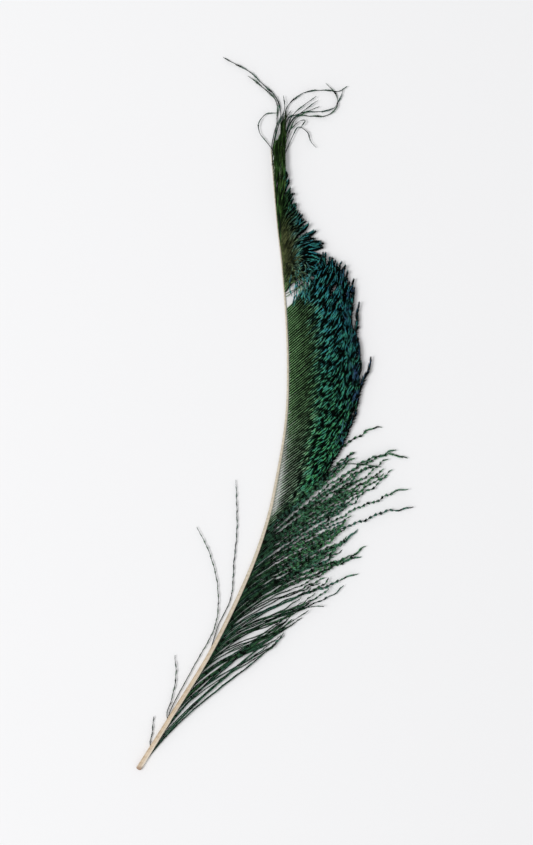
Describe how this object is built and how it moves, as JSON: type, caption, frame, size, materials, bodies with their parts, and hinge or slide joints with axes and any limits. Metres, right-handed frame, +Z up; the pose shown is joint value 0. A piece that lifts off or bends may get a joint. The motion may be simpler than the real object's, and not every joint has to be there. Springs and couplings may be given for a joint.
{
  "type": "peacock sword feather",
  "caption": "Loose peacock sword feather lying flat: a gently bowed shaft with a cut quill, iridescent green barbs along one side and long loose herls below.",
  "frame": {"origin": "under the middle of the feather, on the surface that it lies on", "axes": "+Y towards the tip, +X towards the side that carries the barbs, +Z up off the surface"},
  "size_m": [0.1374, 0.3561, 0.0026],
  "materials": {
    "horn": "smooth dull horn, tan at the quill and cream above",
    "green_barbs": "iridescent green, teal at the curled tips",
    "dark_herl": "dark bottle green fibres with a slight sheen"
  },
  "bodies": {
    "root": {"shaft": "horn", "main_vane": "green_barbs", "upper_vane": "green_barbs", "tip_plume": "dark_herl", "herl_lock_1": "dark_herl", "herl_lock_2": "dark_herl", "herl_lock_3": "dark_herl", "herl_lock_4": "dark_herl", "base_barbs": "dark_herl", "stray_barb_1": "dark_herl", "stray_barb_2": "dark_herl", "stray_barb_3": "dark_herl", "stray_barb_4": "dark_herl", "tip_wisp_left": "dark_herl", "tip_wisp_right": "dark_herl"}
  },
  "joints": []
}
